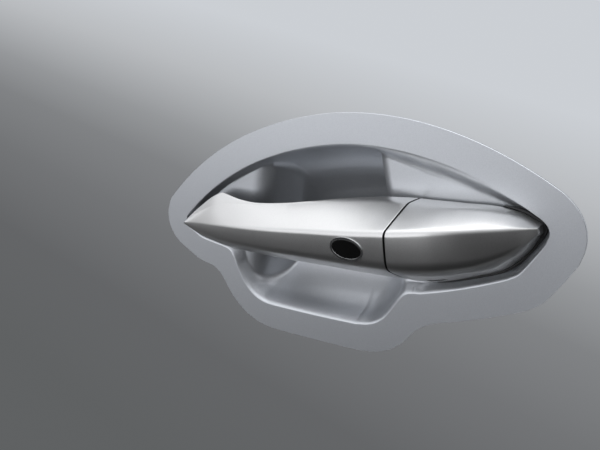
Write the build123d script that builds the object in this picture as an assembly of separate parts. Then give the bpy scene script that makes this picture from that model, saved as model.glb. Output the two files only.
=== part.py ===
from build123d import *
import os
import math

# Outer door handle with its recess cup, for the front left door of a car. Millimetres.
# The origin is the middle of the recess, on the back face of the cup's flange, where the
# cup lies on the door. X runs to the rear of the car, Y into the door, Z up.

# Cup: sheet steel, pressed to a pointed lens with a deep scoop for the fingers.
SHEET = 1.2
RIM_ROLL = 3.0
FLANGE_WIDTH = 16.0
SEAT_DEPTH = 4.0
SCOOP_DEPTH = 28.0
SCOOP_DRAFT = 15.0
REFLEX_R = 6.0
# Edge of the rolled rim, front tip first and clockwise as seen from outside:
# x, z, bow of the side that follows, corner radius.
LENS_RIM = [
    (-122.5, 0.0, 11.5, 3.0),
    (12.0, 44.5, 11.3, 0.0),
    (124.5, 0.5, 0.5, 6.0),
    (103.0, -23.0, 1.2, 14.0),
    (47.0, -36.0, 4.5, 14.0),
    (-108.0, -10.8, 0.0, 12.0),
]
SCOOP_RIM = [
    (-50.0, 70.0, 0.0, 0.0),
    (45.0, 70.0, 0.0, 0.0),
    (37.0, -38.0, 0.0, 20.0),
    (17.0, -58.5, 0.8, 30.0),
    (-76.0, -50.0, 0.0, 24.0),
    (-86.0, -14.0, 0.0, 22.0),
]
# Sloping walls that hollow the scoop like a bowl. Each starts on a line at seat level, front,
# top, rear and bottom: x, z, next x, z on the line, roll radius, slope in degrees, foot radius.
BOWL_WALLS = [
    (-68.0, -14.5, -44.0, 41.5, 14.0, 50.0, 20.0),
    (-38.0, 38.5, 34.0, 43.0, 0.0, 66.0, 33.0),
    (34.3, 50.0, 32.3, -60.0, 6.0, 70.0, 11.0),
    (17.0, -56.5, -76.0, -48.5, 0.0, 66.0, 33.0),
]
# Inward corners where the scoop breaks out of the lens: x, z.
BREAKOUTS = [(-80.0, -16.0), (34.0, -31.0)]

# Studs welded to the back of the flange: the front two stand ahead of the scoop,
# the rear two as far from the middle.
STUD_R = 2.5
STUD_LENGTH = 14.0
STUD_AHEAD = 4.0
STUD_SPAN_Z = 65.0

# Handle body: cross-sections from the front tip to the rear tip.
# x, base y, top z, crest y, crest z, edge y, edge z, low z, crest radius, edge radius.
BODY = [
    (-118.5, -2.8, 0.9, -3.9, 0.6, -3.9, -0.6, -0.9, 0.2, 0.2),
    (-105.0, -1.7, 9.4, -7.2, 1.8, -6.7, -3.6, -8.6, 1.2, 2.0),
    (-84.0, -1.7, 19.3, -12.4, 2.6, -11.6, -6.2, -14.8, 2.0, 4.0),
    (-45.0, 0.5, 20.2, -19.9, 4.0, -18.6, -8.5, -23.2, 2.6, 6.5),
    (0.0, 2.2, 20.8, -25.3, 5.4, -23.7, -10.0, -28.0, 3.0, 8.0),
    (40.0, 2.2, 16.4, -29.4, 6.9, -27.5, -11.2, -29.8, 3.2, 9.0),
    (57.0, 2.2, 14.4, -30.8, 8.0, -28.8, -11.5, -29.6, 3.2, 9.0),
    (80.0, 2.2, 12.2, -29.2, 9.0, -27.2, -10.4, -25.0, 3.0, 8.0),
    (100.0, 2.2, 10.0, -21.2, 7.6, -19.6, -7.6, -18.2, 2.4, 5.0),
    (111.0, 2.2, 6.4, -12.0, 5.0, -11.1, -4.2, -9.0, 1.4, 2.6),
    (117.0, 2.2, 2.6, -3.0, 2.2, -2.8, -0.6, -1.2, 0.5, 0.5),
]
TOP_BOW = 1.0
FACE_BOW = 0.4
LOW_BOW = 1.0
# The seam leans to the rear going up: its x at z = 0 and its lean.
SEAM_X = 53.2
SEAM_LEAN = 0.2
SEAM_GAP = 0.7
# Length of a section's height below which its sides lose their bow.
BOW_HEIGHT = 20.0

# Finger gap behind the grip: a long arc between two points of the base.
FINGER_FRONT_X = -93.0
FINGER_REAR_X = 53.0
FINGER_BASE_Y = 2.2
FINGER_DEPTH = 9.9
INNER_COVER_T = 5.0
# Outline of the inner cover, seen along Y: x, z, bow, corner radius.
INNER_COVER = [
    (-80.0, 7.5, 0.0, 4.0),
    (-45.0, 11.0, 0.0, 0.0),
    (47.0, 11.5, 0.0, 3.0),
    (47.0, -21.0, 0.0, 3.0),
    (0.0, -17.0, 0.0, 0.0),
    (-80.0, -8.5, 0.0, 4.0),
]
COVER_GAP = 0.2

# Foot pad, hook arm and hinge eye at the front, inside the door.
HINGE_X = -110.0
HINGE_Y = 9.3
HINGE_PIN_R = 1.6
HINGE_PIN_END = 0.4
PIN_CLEARANCE = 0.05
PIN_FIT = 0.02
EYE_R = 3.6
HOOK_HALF_Z = 4.2
HOOK_X = (-102.0, -93.0)
HOOK_END_Y = 12.9
HOOK_BAR_Y = 7.5
FOOT_X = (-106.0, -76.0)
FOOT_HALF_Z = 5.4
FOOT_Y = 2.3
FOOT_ROOT_Y = -4.5
PULL_ANGLE = 9.0

# Pull leg at the rear of the grip and the lever it draws.
LEG_X = (41.5, 48.5)
LEG_TOP_Z = 4.0
LEG_LOW_Z = -12.0
LEG_BEAM_Z = -8.5
LEG_ROOT_Y = -10.0
LEG_STEP_Y = 31.0
HOOK_WALL = 5.0
HOOK_TOP_Z = 0.4
LEVER_PIN_Y = 33.0
LEVER_PIN_Z = 22.0
LEVER_PIN_R = 3.0
LEVER_PIN_HEAD = 1.5
LEVER_PIN_END = 0.5
LEVER_HUB_R = 6.0
LEVER_X = (40.5, 52.5)
LEVER_ARM = 26.0
LEVER_ARM_ANGLE = 28.0
LEVER_TIP_R = 3.5
# Half width of each lever arm at the hub and at its end.
LEVER_ARM_HALF = (5.5, 2.2)
CABLE_ARM_HALF = (5.0, 3.5)
CABLE_EYE_WALL = 2.0
LEVER_TIP_GAP = 1.0
LEVER_WEB_X = (44.5, 51.5)
CABLE_ARM = 19.0
CABLE_ARM_ANGLE = 32.0
CABLE_HOLE_R = 2.0
SPRING_R = (3.4, 5.8)
SPRING_GAP = 0.4

# Openings in the cup: x from, x to, z from, z to, corner radius.
HOOK_HOLE = (-104.0, -90.5, -5.6, 5.6, 2.0)
LEG_HOLE = (40.3, 52.5, -14.0, 6.0, 2.0)

# Carrier behind the cup.
CARRIER_T = 4.0
CARRIER_INSET = 1.5
CARRIER_FRONT_X = -80.0
CARRIER_REAR_X = 36.5
SPINE_HALF_Z = 10.0
SPINE_GAP = 1.0
EAR_T = 3.5
EAR_GAP = 0.5
CHEEK_T = 4.4
CHEEK_WALL = 5.6
# How far the bridge's two ends lean, front and rear.
BRIDGE_LEAN = (2.0, 6.0)
CHEEK_GAP = 0.5
EAR_X = 40.0
EAR_R = 7.0
REAR_EAR_X = 59.0
# Screws from the back: x, z.
SCREWS = [(-86.0, 14.0), (65.0, -20.0), (101.0, -3.0)]
SCREW_R = 2.0
SCREW_CLEARANCE = 0.1
SCREW_HEAD_R = 3.6
SCREW_HEAD_T = 2.6
SCREW_SOCKET_FLOOR = 1.0

# Lock behind the end cap.
LOCK_X = 82.0
LOCK_Z = -4.5
LOCK_R = 10.5
LOCK_FLANGE_R = 13.0
LOCK_FLANGE_T = 2.4
LOCK_FRONT_Y = -11.0
LOCK_BACK_Y = 30.0
PLUG_R = 7.0
PLUG_CLEARANCE = 0.05
KEYWAY = (2.2, 8.0, 10.0)
TAIL_LENGTH = 20.0
TAIL_PIN_R = 3.0
TAIL_PIN_LENGTH = 8.0
TAIL_GAP = 0.3
TAIL_T = 3.0
TAIL_EDGE = 2.0
PLUG_SUNK = 0.6
SHANK = 6.0

CAP_WALL = 2.2
CAP_INNER_R = 1.0
# Slot in the cap's lower facet for the key blade that frees the cap: x and y ranges.
KEY_SLOT = ((58.5, 69.0), (-8.5, -4.5))
GASKET_LIP = 2.2
# The lip shows behind this x, and below the handle's middle.
GASKET_LIP_X = 103.0
GASKET_SEAT = 3.0
GASKET_WALL_GAP = 0.3
FRONT_GASKET_LIP = 1.0
FRONT_GASKET_GAP = 0.3

# Push button in the grip's outer face.
BUTTON_X = 28.6
BUTTON_Z = -2.2
BUTTON_SIZE = (19.5, 11.0)
RING_WIDTH = 1.0
RING_PROUD = 0.35
BUTTON_DEPTH = 3.0
BUTTON_GAP = 0.1
BUTTON_SUNK = 0.1
BUTTON_EDGE_R = 0.4

# Socket for the button's lead, on the carrier's back.
SOCKET_X = (-20.0, 0.0)
SOCKET_HALF_Z = 7.0
SOCKET_DEPTH = 12.0
SOCKET_WALL = 2.0

FACE_Y = -SHEET
SEAT_BACK_Y = SEAT_DEPTH + SHEET
SPINE_Y = SCOOP_DEPTH + SHEET + SPINE_GAP
BLOCK = 400.0
SHORT_SIDE = 0.05


def facing_in(y):
    """Plane across the door at depth y, its own y axis pointing down."""
    return Plane(origin=(0, y, 0), x_dir=(1, 0, 0), z_dir=(0, 1, 0))


def round_corners(face, corners):
    for x, z, radius in corners:
        vertex = face.vertices().sort_by_distance((x, -z, 0))[0]
        face = fillet(vertex, radius)
    return face


def outline(table):
    """Flat face from rows of x, z, bow of the next side and corner radius."""
    sides = []
    for row, (x, z, bow, corner) in enumerate(table):
        next_x, next_z = table[(row + 1) % len(table)][:2]
        start = Vector(x, -z)
        end = Vector(next_x, -next_z)
        if bow:
            along = (end - start).normalized()
            middle = (start + end) / 2 + Vector(along.Y, -along.X) * bow
            sides.append(ThreePointArc(start, middle, end))
        else:
            sides.append(Line(start, end))
    corners = [(x, z, corner) for x, z, bow, corner in table if corner]
    return round_corners(make_face(sides), corners)


def widened(face, by):
    """Outline moved outward by a distance, each side redrawn as a line or a plain arc."""
    moved = offset(face, by, kind=Kind.ARC).face().outer_wire().order_edges()
    moved = [side for side in moved if side.length > SHORT_SIDE]
    sides = []
    for side, following in zip(moved, moved[1:] + moved[:1]):
        if side.geom_type == GeomType.LINE:
            sides.append(Line(side @ 0, following @ 0))
        else:
            sides.append(ThreePointArc(side @ 0, side @ 0.5, following @ 0))
    return make_face(sides)


def slab(face, y_from, y_to):
    """Outline carried through the door from one depth to another."""
    return extrude(facing_in(y_from) * face, y_to - y_from)


def window(x_from, x_to, z_from, z_to, corner=0.0):
    """Rectangular outline with rounded corners."""
    middle = Pos((x_from + x_to) / 2, -(z_from + z_to) / 2)
    if corner:
        return middle * RectangleRounded(x_to - x_from, z_to - z_from, corner)
    return middle * Rectangle(x_to - x_from, z_to - z_from)


def brick(x, y, z):
    """Box from pairs of lowest and highest x, y and z."""
    centre = Pos((x[0] + x[1]) / 2, (y[0] + y[1]) / 2, (z[0] + z[1]) / 2)
    return centre * Box(x[1] - x[0], y[1] - y[0], z[1] - z[0])


def rod_y(x, z, radius, y_from, y_to):
    return slab(Pos(x, -z) * Circle(radius), y_from, y_to)


def rod_x(y, z, radius, x_from, x_to):
    end = Plane(origin=(x_from, y, z), x_dir=(0, 1, 0), z_dir=(1, 0, 0))
    return extrude(end * Circle(radius), x_to - x_from)


def rod_z(x, y, radius, z_from, z_to):
    return extrude(Plane.XY.offset(z_from) * (Pos(x, y) * Circle(radius)), z_to - z_from)


def profile_x(points, x_from, x_to):
    """Solid with a straight-sided y, z profile between two x."""
    plane = Plane(origin=(x_from, 0, 0), x_dir=(0, 1, 0), z_dir=(1, 0, 0))
    return extrude(plane * make_face(Polyline(*points, close=True)), x_to - x_from)


# Outlines of the pocket walls, at the foot of the rolled rim.
lens_rim = outline(LENS_RIM)
scoop_rim = outline(SCOOP_RIM)
lens_wall = widened(lens_rim, -RIM_ROLL)
below_lens = Pos(0, BLOCK / 4) * Rectangle(BLOCK, BLOCK / 2)
scoop_wall = widened(scoop_rim, -RIM_ROLL) & (lens_wall + below_lens)
pocket_wall = round_corners(lens_wall + scoop_wall, [(x, z, REFLEX_R) for x, z in BREAKOUTS])


def bowl_wall(row, grow):
    """Block on the open side of one sloping wall, its surface set back by grow."""
    x, z, next_x, next_z, roll, angle, foot = row
    slope = math.radians(angle)
    start = Vector(x, 0, z)
    along = (Vector(next_x, 0, next_z) - start).normalized()
    inward = Vector(along.Z, 0, -along.X)
    seat = SEAT_DEPTH + grow
    floor = SCOOP_DEPTH + grow
    edge = -grow * math.tan(slope / 2)
    low = edge + (floor - seat) / math.tan(slope)
    ahead = edge - BLOCK / 2
    if roll:
        upper = [(ahead, -BLOCK / 4), (ahead, seat), (edge, seat)]
    else:
        upper = [(edge - (seat + BLOCK / 4) / math.tan(slope), -BLOCK / 4)]
    points = upper + [(low, floor), (BLOCK, floor), (BLOCK, -BLOCK / 4)]
    section = make_face(Polyline(*points, close=True))
    section = fillet(section.vertices().sort_by_distance((low, floor, 0))[0], foot + grow)
    if roll:
        section = fillet(section.vertices().sort_by_distance((edge, seat, 0))[0], roll - grow)
    return extrude(Plane(origin=start - along * BLOCK / 2, x_dir=inward, z_dir=along) * section, BLOCK)


def pressed_form(grow):
    """Solid whose front is the pressed sheet's surface, moved inboard by grow."""
    front = FACE_Y + grow
    seat = SEAT_DEPTH + grow
    slope = math.radians(SCOOP_DRAFT)
    pocket = widened(pocket_wall, grow) if grow else pocket_wall
    side = grow * (1 - math.sin(slope)) / math.cos(slope)
    scoop = widened(scoop_wall, side) if grow else scoop_wall
    form = brick((-BLOCK / 2, BLOCK / 2), (front, BLOCK / 4), (-BLOCK / 2, BLOCK / 2))
    form -= slab(pocket, front, seat)
    bowl = extrude(facing_in(seat) * scoop, SCOOP_DEPTH + grow - seat, taper=SCOOP_DRAFT)
    for row in BOWL_WALLS:
        bowl &= bowl_wall(row, grow)
    form -= bowl
    mouth = form.faces().sort_by(Axis.Y)[0].inner_wires()[0]
    return fillet(mouth.edges(), RIM_ROLL - grow)


def handle_cup():
    """Pressed pan: the sheet between its front and back surfaces, with its flange."""
    flange = widened(lens_rim, FLANGE_WIDTH) + (widened(scoop_rim, FLANGE_WIDTH) & below_lens)
    sheet = (pressed_form(0) - pressed_form(SHEET)) & slab(flange, FACE_Y, SCOOP_DEPTH + 2 * SHEET)
    for hole in (HOOK_HOLE, LEG_HOLE):
        sheet -= slab(window(*hole), FACE_Y, SEAT_BACK_Y + SHEET)
    for x, z in SCREWS:
        sheet -= rod_y(x, z, SCREW_R + SCREW_CLEARANCE, FACE_Y, SEAT_BACK_Y + SHEET)
    return sheet - rod_y(LOCK_X, LOCK_Z, LOCK_R + 2 * PLUG_CLEARANCE, FACE_Y, SEAT_BACK_Y + SHEET)


def weld_studs():
    studs = Part()
    front_x = min(row[0] for row in SCOOP_RIM) - STUD_AHEAD
    for x in (front_x, -front_x):
        for z in (-STUD_SPAN_Z / 2, STUD_SPAN_Z / 2):
            studs += rod_y(x, z, STUD_R, 0, STUD_LENGTH)
    return studs


def body_section(row):
    x, base_y, top_z, crest_y, crest_z, edge_y, edge_z, low_z, crest_r, edge_r = row
    corners = [Vector(base_y, top_z), Vector(crest_y, crest_z), Vector(edge_y, edge_z), Vector(base_y, low_z)]
    shrink = min(1.0, (top_z - low_z) / BOW_HEIGHT)
    sides = []
    for start, end, bow in zip(corners, corners[1:], (TOP_BOW, FACE_BOW, LOW_BOW)):
        along = (end - start).normalized()
        middle = (start + end) / 2 + Vector(-along.Y, along.X) * -bow * shrink
        sides.append(ThreePointArc(start, middle, end))
    sides.append(Line(corners[3], corners[0]))
    face = make_face(sides)
    for corner, radius in ((corners[1], crest_r), (corners[2], edge_r)):
        face = fillet(face.vertices().sort_by_distance((corner.X, corner.Y, 0))[0], radius)
    return Plane(origin=(x, 0, 0), x_dir=(0, 1, 0), z_dir=(1, 0, 0)) * face


def arm(y, z, angle, reach, root_half, end_half, x_range):
    """Tapering arm in the y, z plane, its angle taken from straight up towards +Y."""
    along = Vector(math.sin(math.radians(angle)), math.cos(math.radians(angle)))
    across = Vector(along.Y, -along.X)
    root = Vector(y, z)
    end = root + along * reach
    corners = [root + across * root_half, end + across * end_half,
               end - across * end_half, root - across * root_half]
    return profile_x([(corner.X, corner.Y) for corner in corners], *x_range)


handle_body = loft([body_section(row) for row in BODY])
handle_body &= brick((-BLOCK / 2, BLOCK / 2), (-BLOCK / 4, BODY[6][1]), (-BLOCK / 4, BLOCK / 4))

# Circle of the finger gap, from its chord and depth.
finger_half = (FINGER_REAR_X - FINGER_FRONT_X) / 2
finger_x = (FINGER_REAR_X + FINGER_FRONT_X) / 2
finger_r = (finger_half ** 2 + FINGER_DEPTH ** 2) / (2 * FINGER_DEPTH)
finger_y = FINGER_BASE_Y - FINGER_DEPTH + finger_r
hook_wall_y = (LEVER_PIN_Y + LEVER_ARM * math.sin(math.radians(LEVER_ARM_ANGLE))
               + LEVER_TIP_R + LEVER_TIP_GAP)


def behind_seam(shift):
    """Outline of all that lies to the rear of the leaning seam, moved along X."""
    half = BLOCK / 4
    front = [(SEAM_X + SEAM_LEAN * z + shift, -z) for z in (-half, half)]
    return make_face(Polyline(*front, (BLOCK / 2, -half), (BLOCK / 2, half), close=True))


def grip_base(grow=0.0):
    """Inner cover, foot, hook arm with its eye, and pull leg, as one moulding."""
    band = rod_z(finger_x, finger_y, finger_r + INNER_COVER_T + grow, -BLOCK / 4, BLOCK / 4)
    band -= rod_z(finger_x, finger_y, finger_r, -BLOCK / 4, BLOCK / 4)
    rim = outline(INNER_COVER)
    base = band & slab(widened(rim, grow) if grow else rim, -BLOCK / 8, FOOT_Y)
    base += brick((FOOT_X[0] - grow, FOOT_X[1] + grow), (FOOT_ROOT_Y - grow, FOOT_Y),
                  (-FOOT_HALF_Z - grow, FOOT_HALF_Z + grow))
    base += brick((LEG_X[0] - grow, LEG_X[1] + grow), (LEG_ROOT_Y - grow, LEG_STEP_Y),
                  (LEG_LOW_Z - grow, LEG_TOP_Z + grow))
    if grow:
        return base
    base += brick(HOOK_X, (FOOT_ROOT_Y, HOOK_END_Y), (-HOOK_HALF_Z, HOOK_HALF_Z))
    base += brick((HINGE_X, HOOK_X[1]), (HOOK_BAR_Y, HOOK_END_Y), (-HOOK_HALF_Z, HOOK_HALF_Z))
    base += rod_z(HINGE_X, HINGE_Y, EYE_R, -HOOK_HALF_Z, HOOK_HALF_Z)
    base -= rod_z(HINGE_X, HINGE_Y, HINGE_PIN_R + PIN_CLEARANCE, -BLOCK / 4, BLOCK / 4)
    base += brick(LEG_X, (LEG_STEP_Y, hook_wall_y + HOOK_WALL), (LEG_LOW_Z, LEG_BEAM_Z))
    base += brick(LEG_X, (hook_wall_y, hook_wall_y + HOOK_WALL), (LEG_LOW_Z, HOOK_TOP_Z))
    return base


def button_plane():
    """Plane on the grip's outer face at the button, facing out."""
    spots = []
    for dx, dz in ((0, 0), (2, 0), (0, 2)):
        axis = Axis((BUTTON_X + dx, -BLOCK / 4, BUTTON_Z + dz), (0, 1, 0))
        hits = handle_body.find_intersection_points(axis)
        spots.append(min((spot for spot, normal in hits), key=lambda spot: spot.Y))
    across = spots[1] - spots[0]
    upward = spots[2] - spots[0]
    return Plane(origin=spots[0], x_dir=across, z_dir=across.cross(upward))


button_face = button_plane()


def oval(by, top, depth):
    """Button-shaped plug, widened by an amount, from above the grip's face down to a depth."""
    shape = Ellipse(BUTTON_SIZE[0] / 2 + by, BUTTON_SIZE[1] / 2 + by)
    return extrude(button_face.offset(-depth) * shape, depth + top)


def grip_cover():
    """Painted outer moulding of the grip with the well for the button."""
    cover = handle_body - slab(behind_seam(-SEAM_GAP / 2), -BLOCK / 4, BLOCK / 4)
    cover -= rod_z(finger_x, finger_y, finger_r, -BLOCK / 4, BLOCK / 4)
    cover -= grip_base(COVER_GAP)
    return cover - oval(RING_WIDTH, RING_WIDTH, BUTTON_DEPTH)


def button_ring():
    return oval(RING_WIDTH, RING_PROUD, BUTTON_DEPTH) - oval(0, RING_PROUD + 1, BUTTON_DEPTH + 1)


def push_button():
    button = oval(-BUTTON_GAP, RING_PROUD - BUTTON_SUNK, BUTTON_DEPTH)
    top = button.faces().sort_by(Axis.Y)[0]
    return fillet(top.outer_wire().edges(), BUTTON_EDGE_R)


def cap_rows():
    """Cross-sections of the hollow in the end cap."""
    rows = []
    for row in BODY[5:10]:
        x, base_y, top_z, crest_y, crest_z, edge_y, edge_z, low_z, crest_r, edge_r = row
        rows.append((x, base_y + CAP_WALL, top_z - CAP_WALL, crest_y + CAP_WALL, crest_z - CAP_WALL / 2,
                     edge_y + CAP_WALL, edge_z + CAP_WALL / 2, low_z + 1.2 * CAP_WALL,
                     max(crest_r - CAP_WALL, CAP_INNER_R), max(edge_r - CAP_WALL, CAP_INNER_R)))
    return rows


def end_cap():
    """Hollow painted cap over the lock, open towards the door, with a slot below for the key."""
    cap = handle_body & slab(behind_seam(SEAM_GAP / 2), -BLOCK / 4, BLOCK / 4)
    hollow = loft([body_section(row) for row in cap_rows()])
    cap -= hollow & slab(behind_seam(SEAM_GAP / 2 + CAP_WALL), -BLOCK / 4, BLOCK / 4)
    return cap - brick(KEY_SLOT[0], KEY_SLOT[1], (-BLOCK / 4, LOCK_Z - LOCK_R))


def cap_gasket():
    """Flat rubber ring under the end cap, with a lip that shows behind and below the cap."""
    upper = [(row[0], row[2], 0.0, 0.0) for row in BODY[5:]]
    lower = [(row[0], row[7], 0.0, 0.0) for row in reversed(BODY[5:])]
    foot = outline(upper + lower)
    shown = window(-BLOCK / 2, BLOCK / 2, -BLOCK / 4, 0)
    shown += window(GASKET_LIP_X, BLOCK / 2, -BLOCK / 4, BLOCK / 4)
    ring = widened(foot, -GASKET_WALL_GAP) + (widened(foot, GASKET_LIP) & shown)
    ring = ring & widened(lens_wall, -GASKET_WALL_GAP) & behind_seam(SEAM_GAP / 2)
    inside = widened(foot, -GASKET_SEAT) & behind_seam(SEAM_GAP / 2 + GASKET_SEAT)
    return slab(ring - inside, BODY[6][1], SEAT_DEPTH)


def front_gasket():
    """Flat rubber ring on the seat under the handle's front foot."""
    ring = window(FOOT_X[0] - FRONT_GASKET_LIP, FOOT_X[1] + FRONT_GASKET_LIP,
                  -FOOT_HALF_Z - FRONT_GASKET_LIP, FOOT_HALF_Z + FRONT_GASKET_LIP, HOOK_HOLE[4])
    return slab(ring - window(*HOOK_HOLE), FOOT_Y + FRONT_GASKET_GAP, SEAT_DEPTH)


def carrier():
    """Moulded carrier on the back of the cup: two plates joined by a bridge behind the scoop.

    Its plates are moulded to the back of the cup, also where that starts to roll into the scoop.
    """
    seat_back = widened(pocket_wall, -CARRIER_INSET)
    back_y = SEAT_BACK_Y + CARRIER_T
    front = slab(seat_back & window(-BLOCK / 2, CARRIER_FRONT_X, -BLOCK / 4, BLOCK / 4), SEAT_BACK_Y, back_y)
    rear = slab(seat_back & window(CARRIER_REAR_X, BLOCK / 2, -BLOCK / 4, BLOCK / 4), SEAT_BACK_Y, back_y)
    spine_back = SPINE_Y + CARRIER_T
    bridge = [(CARRIER_FRONT_X - 2 * CARRIER_T, SEAT_BACK_Y), (CARRIER_FRONT_X, SEAT_BACK_Y),
              (CARRIER_FRONT_X + BRIDGE_LEAN[0], SPINE_Y), (CARRIER_REAR_X - BRIDGE_LEAN[1], SPINE_Y),
              (CARRIER_REAR_X, SEAT_BACK_Y), (EAR_X, SEAT_BACK_Y),
              (EAR_X - CARRIER_T, spine_back), (CARRIER_FRONT_X - CARRIER_T, spine_back)]
    body = front + rear
    bridge = make_face(Polyline(*bridge, close=True))
    body += extrude(Plane.XY.offset(-SPINE_HALF_Z) * bridge, 2 * SPINE_HALF_Z)
    cheek_in = HOOK_HALF_Z + CHEEK_GAP
    cheek = [(HINGE_X - CHEEK_WALL, SEAT_BACK_Y), (HOOK_X[1], SEAT_BACK_Y), (HOOK_X[1], back_y),
             (HINGE_X + CHEEK_WALL, HINGE_Y + CHEEK_WALL), (HINGE_X - CHEEK_WALL, HINGE_Y + CHEEK_WALL)]
    for low in (-cheek_in - CHEEK_T, cheek_in):
        body += extrude(Plane.XY.offset(low) * make_face(Polyline(*cheek, close=True)), CHEEK_T)
    ear = [(SEAT_BACK_Y, LEG_HOLE[3] + EAR_GAP), (SEAT_BACK_Y, LEVER_PIN_Z + LEVER_HUB_R),
           (LEVER_PIN_Y, LEVER_PIN_Z + EAR_R), (LEVER_PIN_Y, LEVER_PIN_Z - EAR_R)]
    for x in ((EAR_X - EAR_T, EAR_X), (REAR_EAR_X, REAR_EAR_X + EAR_T)):
        body += profile_x(ear, *x) + rod_x(LEVER_PIN_Y, LEVER_PIN_Z, EAR_R, *x)
    body -= brick((HINGE_X - 2 * CHEEK_WALL, HOOK_HOLE[1] + CHEEK_GAP), (-BLOCK / 4, BLOCK / 4),
                  (-cheek_in, cheek_in))
    body -= slab(window(LEG_HOLE[0], LEG_HOLE[1] + EAR_GAP, LEG_HOLE[2] - EAR_GAP, LEG_HOLE[3] + EAR_GAP,
                        LEG_HOLE[4]), SEAT_BACK_Y, back_y)
    body -= rod_y(LOCK_X, LOCK_Z, LOCK_R + 2 * PLUG_CLEARANCE, SEAT_BACK_Y, back_y)
    body -= rod_z(HINGE_X, HINGE_Y, HINGE_PIN_R + PIN_FIT, -BLOCK / 4, BLOCK / 4)
    body -= rod_x(LEVER_PIN_Y, LEVER_PIN_Z, LEVER_PIN_R + PIN_FIT, 0, BLOCK / 4)
    for x, z in SCREWS:
        body -= rod_y(x, z, SCREW_R + SCREW_CLEARANCE, SEAT_BACK_Y, BLOCK / 4)
    return body & pressed_form(SHEET)


def carrier_screws():
    """Screws from the back through the carrier into the cup."""
    screws = Part()
    for x, z in SCREWS:
        back_y = SEAT_BACK_Y + CARRIER_T
        screws += rod_y(x, z, SCREW_R, SEAT_DEPTH, back_y)
        screws += rod_y(x, z, SCREW_HEAD_R, back_y, back_y + SCREW_HEAD_T)
        socket = slab(Pos(x, -z) * RegularPolygon(SCREW_R, 6), back_y + SCREW_SOCKET_FLOOR,
                      back_y + SCREW_HEAD_T)
        screws -= socket
    return screws


def hook_pin():
    half = HOOK_HALF_Z + CHEEK_GAP + CHEEK_T + HINGE_PIN_END
    return rod_z(HINGE_X, HINGE_Y, HINGE_PIN_R, -half, half)


def lock_housing():
    """Cast body of the lock: a barrel through the cup with a flange on the seat."""
    body = rod_y(LOCK_X, LOCK_Z, LOCK_R, LOCK_FRONT_Y, LOCK_BACK_Y)
    body += rod_y(LOCK_X, LOCK_Z, LOCK_FLANGE_R, SEAT_DEPTH - LOCK_FLANGE_T, SEAT_DEPTH)
    return body - rod_y(LOCK_X, LOCK_Z, PLUG_R + PLUG_CLEARANCE, -BLOCK / 4, BLOCK / 4)


def lock_plug():
    """Turning core of the lock with its keyway and the square end that drives the tail."""
    width, height, depth = KEYWAY
    front = LOCK_FRONT_Y + PLUG_SUNK
    plug = rod_y(LOCK_X, LOCK_Z, PLUG_R, front, LOCK_BACK_Y + TAIL_GAP)
    plug += brick((LOCK_X - SHANK / 2, LOCK_X + SHANK / 2), (LOCK_BACK_Y, LOCK_BACK_Y + TAIL_GAP + TAIL_T),
                  (LOCK_Z - SHANK / 2, LOCK_Z + SHANK / 2))
    return plug - brick((LOCK_X - width / 2, LOCK_X + width / 2), (front, front + depth),
                        (LOCK_Z - height / 2, LOCK_Z + height / 2))


def lock_tail():
    """Plate on the plug's square end, with a pin for the rod to the latch."""
    y = LOCK_BACK_Y + TAIL_GAP
    tail_z = LOCK_Z - TAIL_LENGTH
    half = TAIL_PIN_R + TAIL_EDGE
    plate = rod_y(LOCK_X, LOCK_Z, PLUG_R, y, y + TAIL_T) + rod_y(LOCK_X, tail_z, half, y, y + TAIL_T)
    plate += brick((LOCK_X - half, LOCK_X + half), (y, y + TAIL_T), (tail_z, LOCK_Z))
    plate += rod_y(LOCK_X, tail_z, TAIL_PIN_R, y, y + TAIL_T + TAIL_PIN_LENGTH)
    return plate - brick((LOCK_X - SHANK / 2, LOCK_X + SHANK / 2), (y, y + TAIL_T),
                         (LOCK_Z - SHANK / 2, LOCK_Z + SHANK / 2))


def lever_pin():
    """Pin through both ears of the carrier, with its head behind the rear one."""
    head_x = REAR_EAR_X + EAR_T
    head_r = LEVER_PIN_R + LEVER_PIN_HEAD
    pin = rod_x(LEVER_PIN_Y, LEVER_PIN_Z, LEVER_PIN_R, EAR_X - EAR_T - LEVER_PIN_END, head_x)
    return pin + rod_x(LEVER_PIN_Y, LEVER_PIN_Z, head_r, head_x, head_x + LEVER_PIN_HEAD)


def lever_spring():
    """Return spring of the lever, as the sleeve its coils fill."""
    x = (LEVER_X[1] + SPRING_GAP, REAR_EAR_X - SPRING_GAP)
    return rod_x(LEVER_PIN_Y, LEVER_PIN_Z, SPRING_R[1], *x) - rod_x(LEVER_PIN_Y, LEVER_PIN_Z, SPRING_R[0], *x)


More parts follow.
